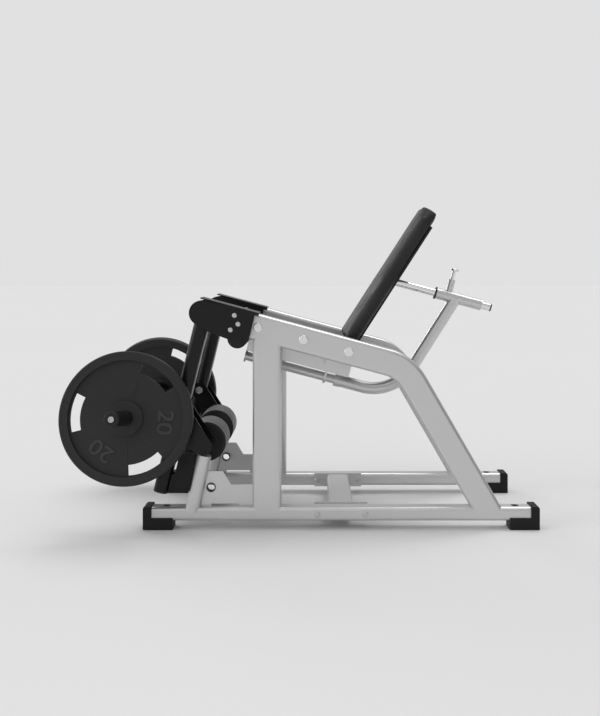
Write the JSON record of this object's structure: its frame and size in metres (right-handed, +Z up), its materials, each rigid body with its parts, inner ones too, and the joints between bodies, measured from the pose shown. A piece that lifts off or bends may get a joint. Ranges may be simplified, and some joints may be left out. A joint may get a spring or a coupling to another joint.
{
  "type": "leg extension machine",
  "caption": "Plate-loaded leg machine: padded seat and sliding back between two side frames, two swinging arms with shin rollers and tilted weight horns.",
  "frame": {"origin": "on the floor, at the middle of the machine's overall length and width", "axes": "+Z up; the seated person faces -X; +Y is the person's right, across the machine"},
  "size_m": [1.632, 1.1506, 1.1297],
  "materials": {
    "frame_silver": "satin",
    "black_steel": "satin",
    "zinc": "satin",
    "cap_silver": "satin",
    "bronze": "satin",
    "black_plastic": "matte",
    "black_rubber": "matte",
    "black_vinyl": "satin",
    "weight_grey": "matte",
    "roller_grey": "satin",
    "chrome": "polished",
    "spring_steel": "satin"
  },
  "bodies": {
    "frame": {"back_carrier": "frame_silver", "back_sleeve": "frame_silver", "cross_beam": "frame_silver", "cross_beam_bolts": "zinc", "front_shoes": "black_rubber", "gusset_bushes": "black_plastic", "gusset_plates": "frame_silver", "left_base_rail": "frame_silver", "left_front_post": "frame_silver", "left_pivot_inner_plate": "black_steel", "left_pivot_outer_plate": "black_steel", "left_top_rail": "frame_silver", "pin_barrel": "frame_silver", "pin_spring": "spring_steel", "pivot_covers": "black_steel", "pivot_plate_bolts": "zinc", "pivot_shafts": "black_steel", "rail_bolt_caps": "cap_silver", "rear_cross_tube": "frame_silver", "rear_shoes": "black_rubber", "right_base_rail": "frame_silver", "right_front_post": "frame_silver", "right_pivot_inner_plate": "black_steel", "right_pivot_outer_plate": "black_steel", "right_top_rail": "frame_silver", "seat_pad": "black_vinyl", "seat_pan": "frame_silver", "seat_roll": "black_vinyl", "seat_ties": "frame_silver", "sleeve_ring": "black_plastic", "spine_cap": "zinc", "spine_clamps": "frame_silver", "spine_tube": "frame_silver", "stop_buffers": "black_rubber", "stop_posts": "frame_silver"},
    "back": {"back_rod": "chrome", "rod_cap": "black_plastic", "back_board": "black_plastic", "back_pad": "black_vinyl"},
    "pin": {"lock_pin": "chrome"},
    "left_lever": {"left_arm": "black_steel", "left_arm_bearings": "bronze", "left_arm_cap": "black_plastic", "left_weight_horn": "black_steel", "left_horn_cap": "black_plastic", "left_link_bolt": "zinc"},
    "left_swivel": {"left_roller_link": "black_steel"},
    "left_roller": {"left_roller_core": "black_plastic", "left_roller_foam": "roller_grey"},
    "left_weight": {"left_weight_plate": "weight_grey"},
    "right_lever": {"right_arm": "black_steel", "right_arm_bearings": "bronze", "right_arm_cap": "black_plastic", "right_weight_horn": "black_steel", "right_horn_cap": "black_plastic", "right_link_bolt": "zinc"},
    "right_swivel": {"right_roller_link": "black_steel"},
    "right_roller": {"right_roller_core": "black_plastic", "right_roller_foam": "roller_grey"},
    "right_weight": {"right_weight_plate": "weight_grey"}
  },
  "joints": [
    {"name": "left_arm_swing", "type": "hinge", "parent": "frame", "child": "left_lever", "pos_m": [-0.33798, -0.26, 0.744], "axis": [0, 1, 0], "range_deg": [0, 95]},
    {"name": "left_link_swing", "type": "hinge", "parent": "left_lever", "child": "left_swivel", "pos_m": [-0.41826, -0.26, 0.41464], "axis": [0, 1, 0], "range_deg": [-25, 10]},
    {"name": "left_roller_spin", "type": "hinge", "parent": "left_swivel", "child": "left_roller", "pos_m": [-0.33798, -0.14, 0.288], "axis": [0, 1, 0], "continuous": true},
    {"name": "left_plate_slide", "type": "slide", "parent": "left_lever", "child": "left_weight", "axis": [0, -0.9903, 0.1392], "range_m": [0, 0.27]},
    {"name": "right_arm_swing", "type": "hinge", "parent": "frame", "child": "right_lever", "pos_m": [-0.33798, 0.26, 0.744], "axis": [0, 1, 0], "range_deg": [0, 95]},
    {"name": "right_link_swing", "type": "hinge", "parent": "right_lever", "child": "right_swivel", "pos_m": [-0.41826, 0.26, 0.41464], "axis": [0, 1, 0], "range_deg": [-25, 10]},
    {"name": "right_roller_spin", "type": "hinge", "parent": "right_swivel", "child": "right_roller", "pos_m": [-0.33798, 0.14, 0.288], "axis": [0, 1, 0], "continuous": true},
    {"name": "right_plate_slide", "type": "slide", "parent": "right_lever", "child": "right_weight", "axis": [0, 0.9903, 0.1392], "range_m": [0, 0.27]},
    {"name": "back_slide", "type": "slide", "parent": "frame", "child": "back", "axis": [0.9659, 0, -0.2588], "range_m": [-0.03, 0.1]},
    {"name": "lock_pin_pull", "type": "slide", "parent": "frame", "child": "pin", "axis": [0.2588, 0, 0.9659], "range_m": [0, 0.012], "stiffness_N_per_m": 900, "springref_m": -0.012, "deforming": ["pin_spring"]}
  ]
}
